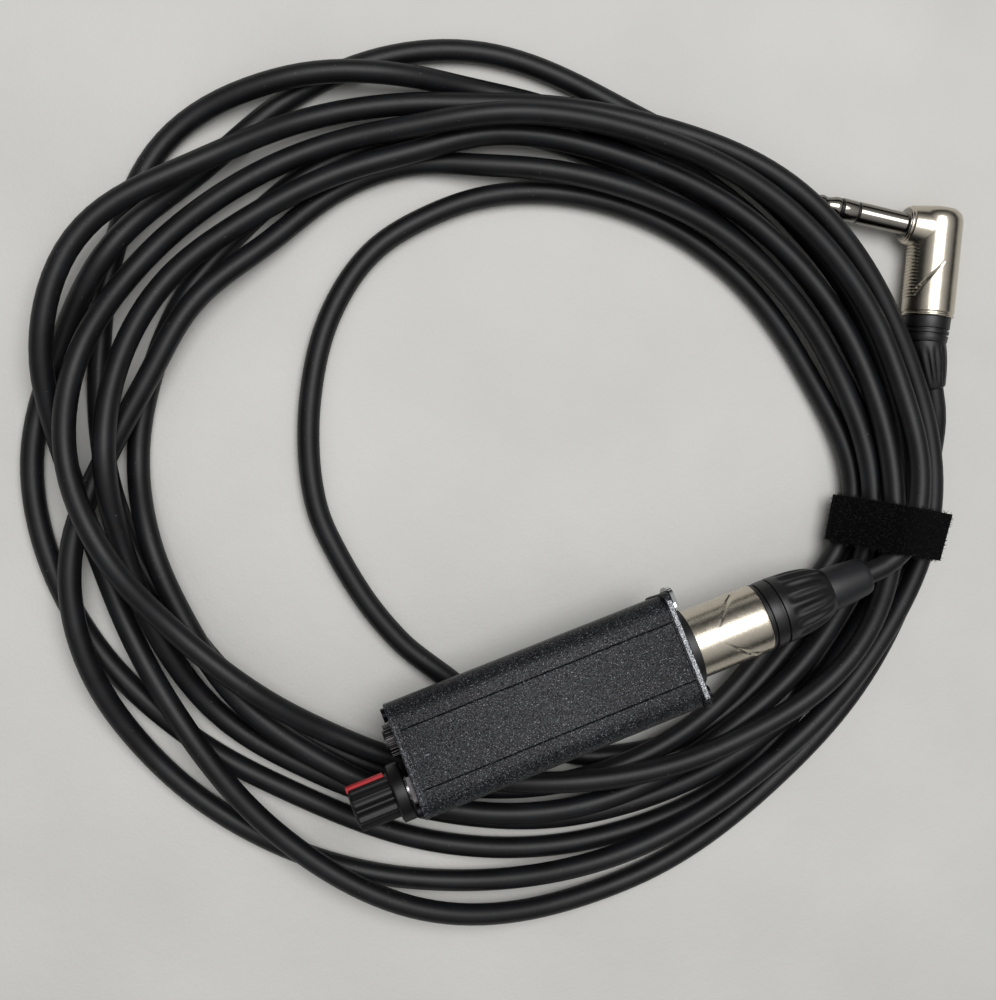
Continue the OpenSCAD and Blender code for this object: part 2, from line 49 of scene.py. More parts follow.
# %% [markdown]
# ## The camera
# The lead lies on a table and is seen from above, a little from the side, with the pack
# turned about twenty degrees from the picture's edge. The camera is set by where it
# stands and by two of its axes, in the coil's own plan. That plan is then turned and set
# down on the coil.

# %% Camera
LENS_MM, SENSOR_MM = 46.8, 36
TURN = math.radians(-20)
CAMERA_AT = Vector((-61.35, 22.33, 370.29)) * MM
CAMERA_RIGHT = Vector((0.98655, 0.0, 0.16346))
CAMERA_UP = Vector((0.00971, 0.99823, -0.05859))
COIL_AT = Vector((-18.2, -1.0, 0.0)) * MM
PICTURE_COIL = Vector((-1.625, 3.873, 0.0)) * MM

turn = Matrix.Rotation(TURN, 4, "Z")
right, up = CAMERA_RIGHT.normalized(), CAMERA_UP.normalized()
back = right.cross(up)
pose = Matrix((
    (right.x, up.x, back.x, CAMERA_AT.x),
    (right.y, up.y, back.y, CAMERA_AT.y),
    (right.z, up.z, back.z, CAMERA_AT.z),
    (0, 0, 0, 1),
))
camera_data = bpy.data.cameras.new("camera")
camera_data.lens = LENS_MM
camera_data.sensor_width = SENSOR_MM
camera_data.clip_start = 0.01
camera = bpy.data.objects.new("camera", camera_data)
camera.matrix_world = Matrix.Translation(COIL_AT - PICTURE_COIL) @ turn @ pose
bpy.context.collection.objects.link(camera)
bpy.context.scene.camera = camera
print("camera at", [round(v, 4) for v in camera.matrix_world.translation])

# %% [markdown]
# ## The cable's route
# The real cable was wound by hand, so no turn is a circle. Each turn is a row of radii
# round the coil's middle and a row of layers, at the same stations, and a smooth curve
# runs through them. A helix would be quicker to write, but it could not cross itself as
# this bundle does. The layers keep the turns from cutting through each other.

# %% Route
CABLE_D = 6.2
LAYER = 7.1
TIE_DIR = -25
TIE_LIFT, TIE_REACH = 3.0, 24  # the strap lifts the strands, for some degrees either side
LAST_STATION, LAST_RADIUS = 22, 132  # degrees short of a whole turn, and the radius there
STATION = [-22, 0, 24, 48, 71, 83, 96, 112, 128, 142, 155, 168, 182, 198, 218, 242, 268, 294, 317]
RADII = [
    [124, 121, 115, 107, 103, 102, 105, 109, 114, 117, 115, 106, 95, 86, 81, 81, 86, 100, 116],
    [116, 114, 108, 101, 99, 96, 97, 100, 106, 107, 105, 102, 100, 99, 94, 94, 100, 107, 116],
    [122, 121, 119, 115, 123, 124, 122, 118, 122, 124, 126, 123, 117, 109, 102, 103, 108, 115, 114],
    [124.5, 117.4, 111, 108, 112, 117, 125, 131, 122, 113, 107, 101, 94, 90, 86, 86, 87, 91, 96],
    [109.5, 101, 95, 89, 83, 79, 75, 67, 59, 54, 51, 49, 47, 47, 50, 58, 82, 97, 104],
    [117.1, 109.6, 103, 100, 102, 102, 102, 100, 100, 99, 98, 95, 92, 91, 89, 91, 95, 99, 108],
    [112.3, 106.6, 100, 93, 91, 94, 94, 92, 97, 99, 106, 116, 120, 120, 117, 114, 112, 115, 124],
    [131, 127.2, 121.8, 111.5, 107, 109, 113, 118, 130, 127, 117, 110, 107, 107, 113, 121, 123, 123, 129],
]
LAYERS = [
    [2, 2, 2, 2, 2, 1.5, 1, 1, 1, 2, 2.1, 2.7, 2, 2, 1, 1, 2, 2, 2],
    [1.9, 1.3, 1, 1, 1, 1, 1, 1, 1, 1.7, 2.3, 1.4, 1, 0, 0, 0, 0, 0.8, 1],
    [1, 1, 0, 0, 0, 0, 0, 0.3, 1.5, 0.1, 0, 0, 0, 0, 0, 0, 0, 0, 0],
    [0, 0, 0, 0, 0, 1.1, 1.1, 0, 0, 0, 0, 0, 0, 0, 0, 0, 1, 1, 0.7],
    [0, 0, 0, 0, 0, 0, 0, 0, 0, 0, 0, 0, 0, 0, 0, 0, 0, 0, 0],
    [0, 0, 0, 0, 0, 0, 0, 0, 0, 0, 0, 1, 1, 1, 1, 1, 1, 1, 1],
    [1, 1, 1, 1, 0.5, 0, 0, 0.5, 1, 1, 0.95, 1.2, 1, 0, 0, 0, 1, 1, 1],
    [1, 1.45, 1.7, 1.2, 1, 1, 1, 2, 2, 1.7, 0.4, 0, 0.5, 1.1, 1, 1, 0, 0, 0],
]
PACK_Y, AXIS_Z, ROLL = -57.9, 26.2, 12
END_K, END_S = -50.0, 32.0
BARREL_X, BUSH_X, BOOT_X, PLUG_END = 35.0, 56.0, 77.0, 89.5
ELBOW = Vector((150.9, 25.8, 7.6))
TIP_DIR, ARM_DIR, BEND_DIR = 149, 245, 262
ARM_L, BOOT_L = 33, 14


def along(point, direction, distance):
    a = math.radians(direction)
    return point + distance * Vector((math.cos(a), math.sin(a), 0))


BOOT_BASE = along(ELBOW, ARM_DIR, ARM_L)
BOOT_END = along(BOOT_BASE, BEND_DIR, BOOT_L)
LEAD_IN = [(PLUG_END, PACK_Y, AXIS_Z), (PLUG_END + 6.5, PACK_Y, AXIS_Z), (102.6, -55.6, 26.4),
           (108.2, -50.4, 26), (113, -43, 24.8), (117.3, -34, 22.6), (120.3, -23, 19.4)]
LEAD_OUT = [(129, -38, 4.6), (132.3, -31.2, 5.8), tuple(along(BOOT_END, BEND_DIR, 6.5)),
            tuple(BOOT_END)]

angles = [360 * t + s for t in range(len(RADII)) for s in STATION]
last = 360 * len(RADII) - LAST_STATION
angles.append(last)
radius_at = [r for row in RADII for r in row] + [LAST_RADIUS]
layer_at = [k for row in LAYERS for k in row] + [0]


def smooth(values, a):
    """Runs a smooth curve through the stations and reads it at an angle."""
    i = max(k for k in range(len(angles) - 1) if angles[k] <= a)
    h = angles[i + 1] - angles[i]
    t = (a - angles[i]) / h

    def slope(k):
        if k < 1 or k > len(angles) - 2:
            return 0
        return (values[k + 1] - values[k - 1]) / (angles[k + 1] - angles[k - 1])

    return ((2 * t**3 - 3 * t**2 + 1) * values[i] + (t**3 - 2 * t**2 + t) * h * slope(i)
            + (3 * t**2 - 2 * t**3) * values[i + 1] + (t**3 - t**2) * h * slope(i + 1))


def turn_point(a):
    off = abs((a - TIE_DIR + 180) % 360 - 180)
    lift = TIE_LIFT * math.cos(math.radians(min(off / TIE_REACH, 1) * 90)) ** 2
    r, ang = smooth(radius_at, a), math.radians(a)
    z = CABLE_D / 2 + LAYER * max(smooth(layer_at, a), 0) + lift
    return (r * math.cos(ang), r * math.sin(ang), z)


STEP = 5
route = ([Vector(p) for p in LEAD_IN] + [Vector(turn_point(a)) for a in range(0, last, STEP)]
         + [Vector(turn_point(last))] + [Vector(p) for p in LEAD_OUT])
route = [p * MM + COIL_AT for p in route]

# %% [markdown]
# ## Materials: colours and one helper
# Colours are written as a maker would name them, in sRGB hex, and turned into the linear
# values that the shader works in. One helper adds a node and fills or links its sockets,
# so that each finish below reads as a short recipe. Patterns are sized in millimetres and
# read Object coordinates, which are metres, so a grain of 0.3 mm has a scale of 1 / 0.0003.


# %% Colour and node helpers
def linear(code):
    parts = [int(code[i:i + 2], 16) / 255 for i in (1, 3, 5)]
    return (*[c / 12.92 if c < 0.04045 else ((c + 0.055) / 1.055) ** 2.4 for c in parts], 1)


def add(mat, kind, sockets=None, **settings):
    made = mat.node_tree.nodes.new(kind)
    for key, value in settings.items():
        setattr(made, key, value)
    for key, value in (sockets or {}).items():
        if isinstance(value, bpy.types.NodeSocket):
            mat.node_tree.links.new(value, made.inputs[key])
        else:
            made.inputs[key].default_value = value
    return made


def finish(name, colour, roughness, metallic=0.0, **shader):
    mat = bpy.data.materials.new(name)
    mat.use_nodes = True
    bsdf = mat.node_tree.nodes["Principled BSDF"]
    bsdf.inputs["Base Color"].default_value = linear(colour)
    bsdf.inputs["Roughness"].default_value = roughness
    bsdf.inputs["Metallic"].default_value = metallic
    for key, value in shader.items():
        bsdf.inputs[key.replace("_", " ")].default_value = value
    mat.diffuse_color = linear(colour)
    print("material", name, colour)
    return mat


def link(mat, output, socket):
    mat.node_tree.links.new(output, mat.node_tree.nodes["Principled BSDF"].inputs[socket])


def noise(mat, size_mm, detail=2, roughness=0.5, stretch=None):
    where = add(mat, "ShaderNodeTexCoord").outputs["Object"]
    if stretch:
        where = add(mat, "ShaderNodeMapping", {"Vector": where, "Scale": stretch}).outputs[0]
    return add(mat, "ShaderNodeTexNoise", {"Vector": where, "Scale": 1 / (size_mm * MM),
                                           "Detail": detail, "Roughness": roughness}).outputs[0]


def ramp(mat, factor, low, high, dark=0.0, light=1.0):
    return add(mat, "ShaderNodeMapRange", {"Value": factor, "From Min": low, "From Max": high,
                                           "To Min": dark, "To Max": light}).outputs[0]


def blend_colours(mat, factor, a, b):
    # A Mix node holds a set of sockets for each data type. The colours are 6, 7 and output 2.
    return add(mat, "ShaderNodeMix", {0: factor, 6: a, 7: b}, data_type="RGBA").outputs[2]


def bump(mat, height, strength, depth_mm, under=None):
    sockets = {"Height": height, "Strength": strength, "Distance": depth_mm * MM}
    if under:
        sockets["Normal"] = under
    made = add(mat, "ShaderNodeBump", sockets).outputs[0]
    link(mat, made, "Normal")
    return made


print("a mid grey in linear light:", [round(v, 4) for v in linear("#808080")[:3]])

# %% [markdown]
# ## The cable's jacket
# A flexible black PVC jacket: satin, with a broad soft highlight. It is not quite even:
# handling leaves faint dull patches and rub marks along it, and pale dust specks cling to it.

# %% Jacket
jacket = finish("satin_black_pvc", "#0b0b0d", 0.5, Specular_IOR_Level=0.35)
patches = ramp(jacket, noise(jacket, 9, 3), 0.35, 0.7)
rubs = ramp(jacket, noise(jacket, 0.8, 4, 0.7), 0.55, 0.75)
dust = ramp(jacket, noise(jacket, 0.7, 1), 0.75, 0.8)
tone = blend_colours(jacket, patches, linear("#08080a"), linear("#131417"))
tone = blend_colours(jacket, dust, tone, linear("#4a4a4d"))
link(jacket, tone, "Base Color")
link(jacket, ramp(jacket, rubs, 0, 1, 0.46, 0.58), "Roughness")
bump(jacket, noise(jacket, 0.5, 2), 0.12, 0.05)

# %% [markdown]
# ## Powder coat
# The pack is an aluminium extrusion under a fine-textured black powder coat. Its grain is
# a few tenths of a millimetre. One noise gives both the colour and the bump: the hollows of
# the grain are painted darker as shade, so that each lighter tip is a raised one. Scattered
# pale specks are painted on as glints of light on the grain. The knob plate's rim is painted
# a little lighter as a highlight, and the socket plate's top edge carries a pale painted
# highlight strip.


# %% Powder finishes
GRAIN_MM, GLINT_MM = 0.42, 0.32


def powder(name, base, tip, glint, share, rough):
    mat = finish(name, base, rough, Specular_IOR_Level=0.35)
    grain = noise(mat, GRAIN_MM, 2, 0.8)
    # Painted glints: scattered specks are painted pale, as sparkle of light on the grain.
    painted_glints = ramp(mat, noise(mat, GLINT_MM, 1), share, share + 0.05)
    wide = ramp(mat, noise(mat, 14, 2), 0.35, 0.65)
    # Painted shade: the low side of the grain's bump is painted dark, as shade in its hollows.
    painted_hollow_shade = ramp(mat, grain, 0.4, 0.62)
    tone = blend_colours(mat, wide, linear(base), linear(tip))
    tone = blend_colours(mat, painted_hollow_shade, linear("#08090b"), tone)
    tone = blend_colours(mat, painted_glints, tone, linear(glint))
    link(mat, tone, "Base Color")
    link(mat, ramp(mat, painted_hollow_shade, 0, 1, 0.1, 0.46), "Specular IOR Level")
    link(mat, ramp(mat, painted_glints, 0, 1, rough, 0.35), "Roughness")
    bump(mat, grain, 0.6, 0.1)
    return mat


powder_black = powder("black_powder_coat", "#17181d", "#202227", "#7c7e84", 0.65, 0.5)
powder_rim_highlight = powder("painted_rim_highlight_powder", "#26282d", "#2e3036", "#7c7f86", 0.62, 0.42)
powder_highlight_grey = powder("pale_highlight_speckled", "#a9adb3", "#bcc0c6", "#e2e4e8", 0.55, 0.4)

# %% [markdown]
# ## Moulded plastics and rubber
# The moulded parts are smoother than the coat. Nylon is used for the bushings and the elbow's
# boot, a softer rubber for the straight plug's boot and a glossy black for the knob. A mould
# leaves an almost even surface, so all that varies is a faint grain and the dull marks of handling.


# %% Moulded finishes
def moulded(name, colour, rough, grain_mm, strength, worn="#3b3c3f", **shader):
    mat = finish(name, colour, rough, **shader)
    marks = ramp(mat, noise(mat, 3.5, 4, 0.65), 0.56, 0.78)
    link(mat, blend_colours(mat, marks, linear(colour), linear(worn)), "Base Color")
    link(mat, ramp(mat, marks, 0, 1, rough, rough + 0.12), "Roughness")
    bump(mat, noise(mat, grain_mm, 2), strength, 0.04)
    return mat


nylon = moulded("moulded_black_nylon", "#070709", 0.42, 0.35, 0.15, "#17181b")
rubber = moulded("soft_black_rubber", "#141518", 0.5, 0.25, 0.25, "#232427")
gloss = moulded("glossy_black_knob", "#060607", 0.4, 1.5, 0.05, "#0c0c0e", Specular_IOR_Level=0.3)
pointer_red = moulded("red_pointer_paint", "#b52a32", 0.45, 0.5, 0.1, "#8f1c20")
ring_black = moulded("insulator_black", "#060607", 0.35, 0.5, 0.1, "#101012")
board = moulded("green_circuit_board", "#1f5a33", 0.45, 0.6, 0.1, "#2f6b41")

# %% [markdown]
# ## Metals
# The plug bodies are zinc castings, bead-blasted and plated in satin nickel: warm grey, with
# a soft bloom and a fine pebbled grain. The phone plug's shaft is turned and polished nickel,
# the latch is bright chrome, the nuts are a dark steel, the screws are plain or blackened steel
# and the contacts are gold.


# %% Plated and plain metals
def metal(name, colour, rough, grain_mm, strength, smear="#8c857a", amount=0.25, depth_mm=0.03):
    mat = finish(name, colour, rough, 1.0)
    cloud = ramp(mat, noise(mat, 5, 3), 0.4, 0.75, 0, amount)
    link(mat, blend_colours(mat, cloud, linear(colour), linear(smear)), "Base Color")
    link(mat, ramp(mat, noise(mat, 2.2, 4, 0.7), 0.3, 0.7, rough * 0.85, rough * 1.2), "Roughness")
    bump(mat, noise(mat, grain_mm, 2), strength, depth_mm)
    return mat


satin_nickel = metal("satin_nickel", "#c8c0b1", 0.25, 0.2, 0.55, "#a59c8c", depth_mm=0.035)
smooth_nickel = metal("fine_satin_nickel", "#c8c0b1", 0.23, 0.2, 0.22, "#a59c8c", depth_mm=0.035)
bright_nickel = metal("polished_nickel", "#8f8b84", 0.1, 0.8, 0.04, "#6a665f")
chrome = metal("bright_chrome", "#d9dadb", 0.08, 1.2, 0.03, "#9c9c9c")
steel = metal("plain_steel", "#b4b4b6", 0.3, 0.4, 0.15)
dark_chrome = metal("dark_knurled_nut", "#3c3a3b", 0.3, 0.3, 0.15, "#1c1a1b")
black_steel = metal("blackened_steel", "#26262a", 0.4, 0.4, 0.15, "#18181a")
gold = metal("gold_plate", "#cfae5a", 0.25, 0.5, 0.05, "#a8873a")

# %% [markdown]
# ## Hook-and-loop
# The strap is a woven tape faced with loops: a deep matt black with a short ragged pile.
# The colour and the sheen come from the material, and the pile itself is modelled further
# down, so that the strap's edge is fuzzy against the floor.

# %% Strap finish
pile = finish("loop_pile_black", "#020203", 0.95, Sheen_Weight=0.02, Sheen_Roughness=0.6,
              Specular_IOR_Level=0.05)
fluff = ramp(pile, noise(pile, 0.45, 5, 0.75), 0.42, 0.68)
link(pile, blend_colours(pile, fluff, linear("#010102"), linear("#0a0a0d")), "Base Color")
bump(pile, noise(pile, 0.4, 4, 0.7), 1.0, 0.6)
fibre = finish("loop_fibre_black", "#141417", 0.75, Specular_IOR_Level=0.3)
link(fibre, blend_colours(fibre, ramp(fibre, noise(fibre, 0.6, 2), 0.4, 0.6), linear("#030304"),
                          linear("#2c2c31")), "Base Color")

# %% [markdown]
# ## Pieces
# Most of the parts are turned, so most pieces are a profile spun round an axis. A profile
# is a short list of (distance along, radius, corner rounding) in millimetres. Each corner
# is bevelled while the profile is still a wire, because a rounded wire gives a rounded
# edge all the way round.


# %% Turned pieces
def turned(profile, steps=72, loop=False):
    bm = bmesh.new()
    verts = [bm.verts.new((x, r, 0)) for x, r, _ in profile]
    for a, b in zip(verts, verts[1:] + (verts[:1] if loop else [])):
        bm.edges.new((a, b))
    for v, (_, _, rounding) in zip(verts, profile):
        if rounding:
            bmesh.ops.bevel(bm, geom=[v], offset=rounding, affect="VERTICES", segments=3,
                            profile=0.5, material=-1)
    bmesh.ops.spin(bm, geom=bm.verts[:] + bm.edges[:], cent=(0, 0, 0), axis=(1, 0, 0),
                   dvec=(0, 0, 0), angle=math.tau, steps=steps, use_merge=True)
    bmesh.ops.remove_doubles(bm, verts=bm.verts, dist=0.001)
    bmesh.ops.recalc_face_normals(bm, faces=bm.faces)
    return bm


def join(into, part):
    """Adds one mesh to another. The second is used up."""
    scratch = bpy.data.meshes.new("scratch")
    part.to_mesh(scratch)
    part.free()
    into.from_mesh(scratch)
    bpy.data.meshes.remove(scratch)


def pack_place():
    return (Matrix.Translation(COIL_AT / MM + Vector((0, PACK_Y, AXIS_Z)))
            @ Matrix.Rotation(math.radians(-ROLL), 4, "X"))


def laid(point, direction):
    return (Matrix.Translation(COIL_AT / MM + point)
            @ Matrix.Rotation(math.radians(direction), 4, "Z"))


def make(name, bm, place, mat, replaced=(), body="lead", sharp=35):
    bmesh.ops.transform(bm, matrix=Matrix.Scale(MM, 4) @ place, verts=bm.verts)
    for face in bm.faces:
        face.smooth = True
    for edge in bm.edges:
        edge.smooth = edge.calc_face_angle(0) < math.radians(sharp)
    mesh = bpy.data.meshes.new(name)
    bm.to_mesh(mesh)
    bm.free()
    mesh.materials.append(mat)
    obj = bpy.data.objects.new(name, mesh)
    bpy.context.collection.objects.link(obj)
    if replaced:
        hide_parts(*replaced)
    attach(obj, body)
    print(name, len(mesh.polygons), "faces")
    return obj


# %% [markdown]
# ## The cable as one curve
# A cable is a curve with a round bevel: one spline, with a point every five degrees, so the
# bends stay smooth where a mesh tube would show its rings.

# %% Cable
curve = bpy.data.curves.new("cable", "CURVE")
curve.dimensions = "3D"
spline = curve.splines.new("NURBS")
spline.points.add(len(route) - 1)
for p, v in zip(spline.points, route):
    p.co = (*v, 1)
spline.order_u = 4
spline.use_endpoint_u = True
spline.resolution_u = 3
curve.bevel_depth = CABLE_D / 2 * MM
curve.bevel_resolution = 6
curve.use_fill_caps = True
curve.materials.append(jacket)
cable = bpy.data.objects.new("cable", curve)
bpy.context.collection.objects.link(cable)
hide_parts("cable_coil")
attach(cable, "lead")
print("cable", len(spline.points), "points,", CABLE_D, "mm thick")

# %% [markdown]
# ## The pack's shell and plate rims
# The shell is one extruded outline: a rounded box with two fine V grooves along its top.
# The outline is drawn as a wire, its corners are bevelled to their real radii, and the wire
# is drawn out along the pack. Solidify then gives it a real wall. The end plates keep their
# CAD shape with all its holes, and each gets a thin bevelled rim, which catches the light;
# the knob plate's rim is also painted lighter, as a painted highlight. The socket plate's
# top edge carries a pale painted highlight, as one long strip.


# %% Extruded outlines
PACK_W, PACK_H, CORNER, WALL, PLATE_T = 32, 24, 5.5, 1.5, 2.0
GROOVE_Y, GROOVE_HALF, GROOVE_DEPTH = 8.3, 0.25, 0.35
RIM_T, SOCKET_CORNER = 1.2, 2.2


def tube_of(x0, x1, grow, wall, grooves, rounding, corner=CORNER):
    w, h = PACK_W / 2 + grow, PACK_H / 2 + grow
    dip = [(GROOVE_Y * side + d, h - (0 if d else GROOVE_DEPTH))
           for side in (1, -1) for d in (GROOVE_HALF, 0, -GROOVE_HALF)]
    points = [(-w, h), (-w, -h), (w, -h), (w, h)] + (dip if grooves else [])
    bm = bmesh.new()
    verts = [bm.verts.new((x0, y, z)) for y, z in points]
    for pair in zip(verts, verts[1:] + verts[:1]):
        bm.edges.new(pair)
    bmesh.ops.bevel(bm, geom=verts[:4], offset=corner + grow, affect="VERTICES", segments=10,
                    profile=0.5, material=-1)
    drawn = bmesh.ops.extrude_edge_only(bm, edges=bm.edges[:])["geom"]
    bmesh.ops.translate(bm, vec=(x1 - x0, 0, 0),
                        verts=[g for g in drawn if isinstance(g, bmesh.types.BMVert)])
    bmesh.ops.recalc_face_normals(bm, faces=bm.faces)
    bmesh.ops.solidify(bm, geom=bm.faces[:], thickness=wall)
    bmesh.ops.recalc_face_normals(bm, faces=bm.faces)
    rims = [e for e in bm.edges if e.calc_face_angle(0) > 1.3
            and abs(e.verts[0].co.x - e.verts[1].co.x) < 0.01]
    bmesh.ops.bevel(bm, geom=rims, offset=rounding, affect="EDGES", segments=3, profile=0.5,
                    material=-1)
    print("tube", round(x1 - x0, 2), "mm long, open edges",
          sum(len(e.link_faces) != 2 for e in bm.edges))
    return bm


shell = tube_of(END_K + PLATE_T, END_S - PLATE_T, 0, WALL, True, 0.15)
make("pack_shell", shell, pack_place(), powder_black, ["pack_body"])
# The knob plate's rim is painted a little lighter than the coat, as a painted highlight along its edge.
knob_rim = tube_of(END_K - 0.05, END_K + 1.3, 0.12, RIM_T, False, 0.4)
make("knob_plate_rim", knob_rim, pack_place(), powder_rim_highlight)
socket_rim = tube_of(END_S - PLATE_T + 0.15, END_S + 0.05, 0.5, RIM_T, False, 0.35, SOCKET_CORNER)
make("socket_plate_rim", socket_rim, pack_place(), powder_black)
# The socket plate's top edge is a thin pale strip on the black: a painted highlight of light catching
# that edge.
STRIP_SIZE, STRIP_AT = (1.25, 28, 0.3, 1), (END_S - 0.85, 0, PACK_H / 2 + 0.42)
strip = bmesh.new()
bmesh.ops.create_cube(strip, size=1,
                      matrix=Matrix.Translation(STRIP_AT) @ Matrix.Diagonal(STRIP_SIZE))
bmesh.ops.bevel(strip, geom=strip.edges[:], offset=0.1, affect="EDGES", segments=2, profile=0.5,
                material=-1)
make("socket_edge_highlight", strip, pack_place(), powder_highlight_grey)

# %% [markdown]
# ## The plug's barrel
# A plain turned tube in satin nickel, which enters the socket. Its only marks are two
# slanting creases, each deep along one side and fading along the other. They are pressed
# into the spun tube by moving its vertices inwards, so the wall is spun with rings a
# quarter of a millimetre apart.


# %% Barrel
BARREL_R, BARREL_BORE, SEAT_R = 9.7, 8.0, 9.4
RING_MM = 0.25
CREASE_LIP = 0.35


def crease(bm, start, end, width, depth):
    """Presses a wedge-shaped crease: start and end are (along, round the girth), in mm."""
    a, b = Vector(start), Vector(end)
    for v in bm.verts:
        r = math.hypot(v.co.y, v.co.z)
        p = Vector((v.co.x, math.atan2(v.co.z, v.co.y) * r))
        t = (p - a).dot(b - a) / (b - a).length_squared
        if r < 5 or not 0 <= t <= 1:
            continue
        side = (b - a).normalized().cross(p - a) * math.copysign(1, width)
        reach = abs(width) * (1 - t)
        if -CREASE_LIP < side < reach:
            k = 1 - depth * (1 - t) ** 0.5 * (1 - max(side, 0) / max(reach, 0.01)) / r
            v.co.y *= k
            v.co.z *= k


wall_line = [(BARREL_X - 0.6 + RING_MM * i, BARREL_R, 0) for i in range(2, 84)]
barrel = turned([(END_S - 13, BARREL_BORE, 0), (END_S - 13, SEAT_R, 0.3), (BARREL_X - 0.6, SEAT_R, 0),
                 (BARREL_X - 0.6, BARREL_R, 0.2)] + wall_line
                + [(BUSH_X - 0.05, BARREL_R, 0.2), (BUSH_X - 0.05, BARREL_BORE, 0)],
                steps=220, loop=True)
crease(barrel, (49.9, 3.5), (42.3, 13.1), -1.4, 0.35)
crease(barrel, (51.2, 27), (41.9, 17.5), 1.4, 0.35)
make("plug_barrel", barrel, pack_place(), satin_nickel, ["plug_shell"], sharp=50)

# %% [markdown]
# ## The finger bushing
# The nylon bushing screws on to the barrel. It has two sealing lines and sixteen scooped
# finger flutes. The flutes are pressed in by moving vertices too, because cutting sixteen
# scoops with booleans would leave ragged edges where they fade out.


# %% Bushing
def flutes(bm, count, x0, x1, depth, share):
    """Presses scoops that are deepest in the middle and fade out at both ends."""
    for v in bm.verts:
        r = math.hypot(v.co.y, v.co.z)
        if not x0 < v.co.x < x1 or r < 4:
            continue
        turn_part = (math.atan2(v.co.z, v.co.y) / math.tau * count) % 1
        across = max(0.0, 1 - (abs(turn_part - 0.5) * 2 / share) ** 2)
        t = (v.co.x - x0) / (x1 - x0)
        end = math.sin(math.pi * t ** 0.8) ** 0.6
        k = 1 - depth * across * end / r
        v.co.y *= k
        v.co.z *= k


def shifted(profile, x):
    return [(x + along_x, r, rounding) for along_x, r, rounding in profile]


BUSH_L, BUSH_BORE, COLLAR = 21, 5.2, 5.2
TAPER_STEPS, BUSH_FLUTES = 23, 16
shape = [(0, 9.0, 0), (0, 9.5, 0.25), (0.8, 9.5, 0.1), (0.95, 8.9, 0), (1.35, 8.9, 0), (1.5, 9.5, 0.1),
         (4.5, 9.6, 0.1), (4.65, 9.0, 0), (5.05, 9.0, 0), (COLLAR, 9.6, 0.15)]
for i in range(1, TAPER_STEPS + 1):
    t = i / TAPER_STEPS
    shape.append((COLLAR + t * (BUSH_L - COLLAR - 0.6), 9.65 - 0.9 * t - 2.0 * t ** 4, 0))
shape += [(BUSH_L, 6.4, 0), (BUSH_L, BUSH_BORE, 0), (1, BUSH_BORE, 0)]
bushing = turned(shifted(shape, BUSH_X), steps=BUSH_FLUTES * 10, loop=True)
flutes(bushing, BUSH_FLUTES, BUSH_X + 7.4, BUSH_X + 19.6, 0.75, 0.72)
make("finger_bushing", bushing, pack_place(), nylon, ["plug_bushing"])

# %% [markdown]
# ## The cable boot
# A short soft sleeve that stops the cable from kinking where it leaves the plug. Its two
# steps are rounded, so it is one spun profile with generous roundings.

# %% Boot
BOOT_TAIL = BOOT_X - 11
boot = turned([(BOOT_TAIL, 5.15, 0), (BOOT_X - 0.5, 5.15, 0), (BOOT_X - 0.5, 6.3, 0.3),
               (BOOT_X + 4, 6.15, 1.5), (PLUG_END - 1.2, 5.4, 0.9), (PLUG_END, 4.9, 0.5),
               (PLUG_END, 3.25, 0.3), (PLUG_END - 8, 3.1, 0), (BOOT_TAIL, 3.1, 0)], loop=True)
make("cable_boot", boot, pack_place(), rubber, ["plug_boot"])

# %% [markdown]
# ## The knob
# A small control knob with twelve shallow flutes and a wider skirt, moulded in glossy
# black. The flutes run the whole length, so they are pressed into a spun blank as the
# bushing's are. The place of one flute is left whole, for the red fin that points.

# %% Knob
KNOB_Y, KNOB_X, KNOB_L, KNOB_R, SKIRT_R, SKIRT_L = -7.3, END_K - 5.5, 11.5, 6.2, 8, 3.7
POINT_DIR, FLUTES, FLUTE_DEPTH = 18, 12, 0.65
blank = [(-KNOB_L, 0, 0), (-KNOB_L, 4.6, 0.3), (0.4 - KNOB_L, 5.1, 0.3),
         (0.4 - KNOB_L, KNOB_R - 0.05, 0.4)]
blank += [(1 - KNOB_L + i * 1.25, KNOB_R - 0.02, 0) for i in range(8)]
blank += [(-0.2, KNOB_R - 0.02, 0), (0, 7.6, 0.4), (0.4, SKIRT_R, 0.3), (SKIRT_L, SKIRT_R, 0.4),
          (SKIRT_L, 4.4, 0), (1.4, 4.0, 0), (1.4, 0, 0)]
knob = turned(shifted(blank, KNOB_X), steps=FLUTES * 20)
for v in knob.verts:
    r = math.hypot(v.co.y, v.co.z)
    if 5.4 < r < KNOB_R + 0.1 and v.co.x < KNOB_X - 0.05:
        degrees = math.degrees(math.atan2(v.co.z, v.co.y)) - POINT_DIR
        turn_part = (degrees * FLUTES / 360) % FLUTES
        across = max(0.0, 1 - ((turn_part + 0.5) % 1 - 0.5) ** 2 / 0.17)
        if 0.5 < turn_part < FLUTES - 0.5:
            k = 1 - FLUTE_DEPTH * across / r
            v.co.y *= k
            v.co.z *= k
knob_place = pack_place() @ Matrix.Translation((0, KNOB_Y, 0))
make("fluted_knob", knob, knob_place, gloss, ["volume_knob"], body="knob")

# %% [markdown]
# ## The phone plug's shaft
# The shaft is five turned pieces in a row: sleeve, insulator, ring, insulator and tip. Each
# is spun by itself, because the metal and the insulators have different finishes, and the
# fine gaps between them show as dark lines.

# %% Shaft
NECK, SLEEVE_L, BAND_L, RING_L = 10.4, 14.6, 1.1, 4.0
SHAFT_R, BAND_R = 3.175, 3.0
SLEEVE_END = NECK + SLEEVE_L
RING_START = SLEEVE_END + BAND_L
RING_END = RING_START + RING_L
TIP_START = RING_END + BAND_L
tip_place = laid(ELBOW, TIP_DIR)


def collar(x0, x1, bore, radius, rounding):
    return [(x0, bore, 0), (x0, radius, rounding), (x1, radius, rounding), (x1, bore, 0)]


